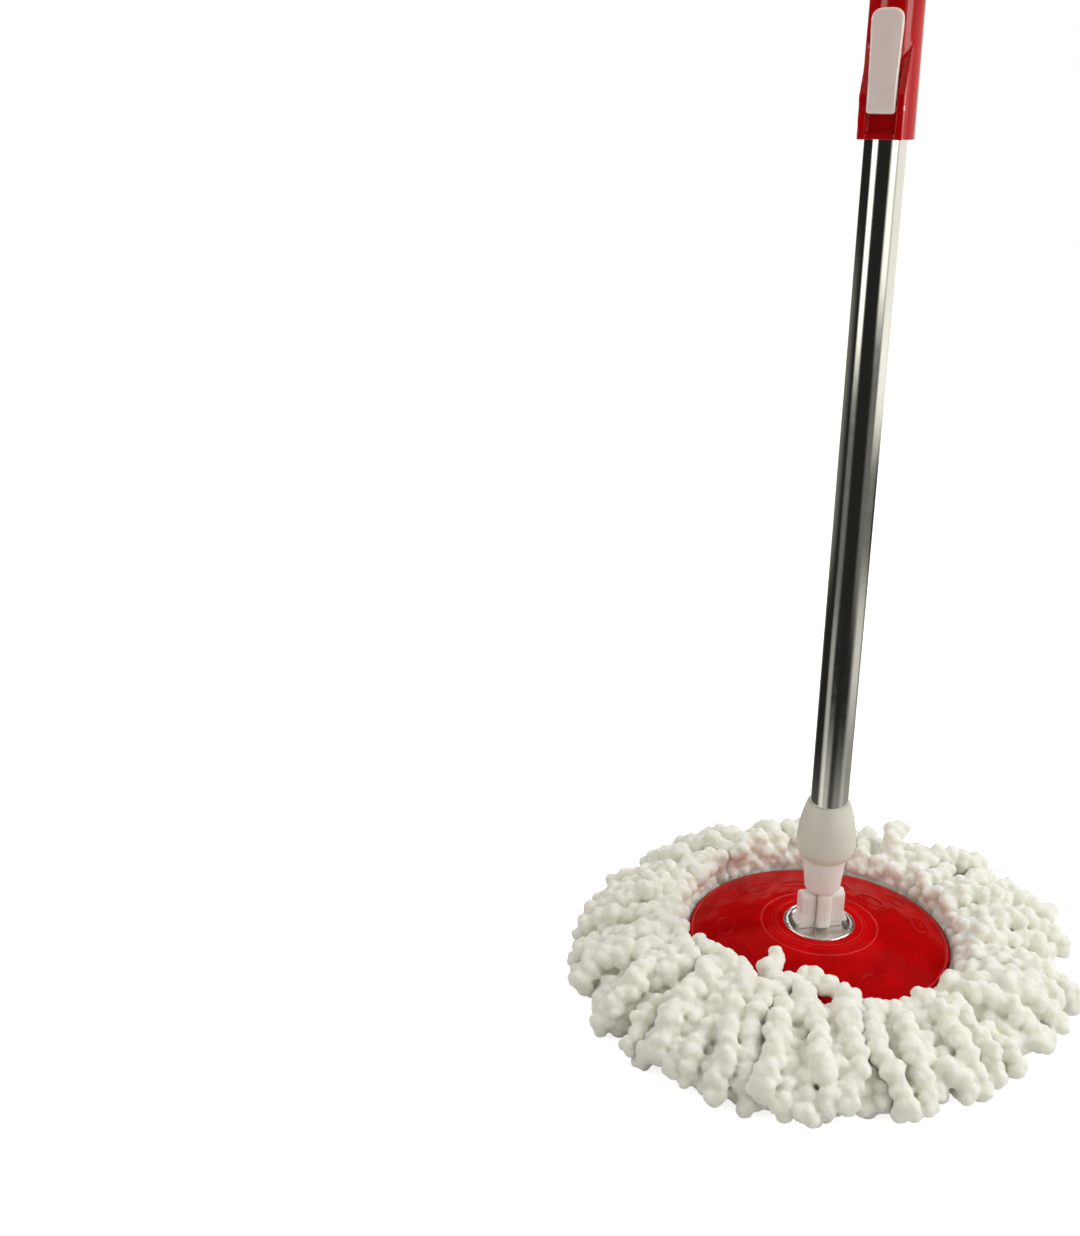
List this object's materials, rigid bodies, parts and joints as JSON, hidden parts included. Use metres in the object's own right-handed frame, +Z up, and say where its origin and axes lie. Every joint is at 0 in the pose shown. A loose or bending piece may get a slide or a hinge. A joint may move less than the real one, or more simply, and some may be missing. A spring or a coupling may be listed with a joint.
{
  "type": "string mop",
  "caption": "Round string mop: a domed disc with a ring of thick chenille strands on a tilting yoke, and a telescopic press pole with a cam clamp that spins the head.",
  "frame": {"origin": "on the floor under the middle of the disc", "axes": "+Z up along the pole, X along the tilt hinge, -Y to the front of the picture's view apart from a small turn"},
  "size_m": [0.307, 0.307, 1.242],
  "materials": {
    "red_plastic": "gloss",
    "white_plastic": "satin",
    "bright_metal": "polished stainless steel",
    "chenille": "fluffy microfibre"
  },
  "bodies": {
    "head": {"mop_disc": "red_plastic", "hub_dish": "bright_metal", "hub_yoke": "white_plastic", "hub_screws": "bright_metal", "hub_plate": "white_plastic", "hinge_pin": "bright_metal", "refill_ring": "white_plastic", "string_bundle_01": "chenille", "string_bundle_02": "chenille", "string_bundle_03": "chenille", "string_bundle_04": "chenille", "string_bundle_05": "chenille", "string_bundle_06": "chenille", "string_bundle_07": "chenille", "string_bundle_08": "chenille", "string_bundle_09": "chenille", "string_bundle_10": "chenille", "string_bundle_11": "chenille", "string_bundle_12": "chenille"},
    "lower_pole": {"neck_knuckle": "white_plastic", "socket_collar": "white_plastic", "tube_rivet": "bright_metal", "lower_tube": "bright_metal", "ratchet_seat": "white_plastic", "seat_cap": "white_plastic"},
    "nut": {"drive_nut": "white_plastic"},
    "rod_stop": {"rod_end_stop": "white_plastic"},
    "upper_pole": {"drive_rod": "bright_metal", "anchor_pin": "bright_metal", "upper_tube": "bright_metal", "tube_joiner": "white_plastic", "top_tube": "bright_metal", "hand_grip": "red_plastic", "hang_cap": "white_plastic", "clamp_body": "red_plastic", "brake_pad": "white_plastic", "lever_pin": "white_plastic"},
    "lever": {"lock_lever": "white_plastic"}
  },
  "joints": [
    {"name": "pole_tilt", "type": "hinge", "parent": "head", "child": "lower_pole", "pos_m": [0, 0, 0.0504], "axis": [1, 0, 0], "range_deg": [-75, 75]},
    {"name": "freewheel", "type": "hinge", "parent": "lower_pole", "child": "nut", "pos_m": [0, 0, 0.58], "axis": [0, 0, 1], "continuous": true},
    {"name": "press_stroke", "type": "slide", "parent": "nut", "child": "rod_stop", "axis": [0, 0, 1], "range_m": [-0.2, 0]},
    {"name": "rod_twist", "type": "hinge", "parent": "rod_stop", "child": "upper_pole", "pos_m": [0, 0, 0.56], "axis": [0, 0, 1], "range_deg": [-725, 5]},
    {"name": "lock_lever_turn", "type": "hinge", "parent": "upper_pole", "child": "lever", "pos_m": [-0.00871, -0.01342, 0.506], "axis": [0.8387, -0.5446, 0], "range_deg": [0, 95]}
  ],
  "couplings": [
    {"joint": "rod_twist", "follows": "press_stroke", "rad_per_m": 62.832}
  ]
}
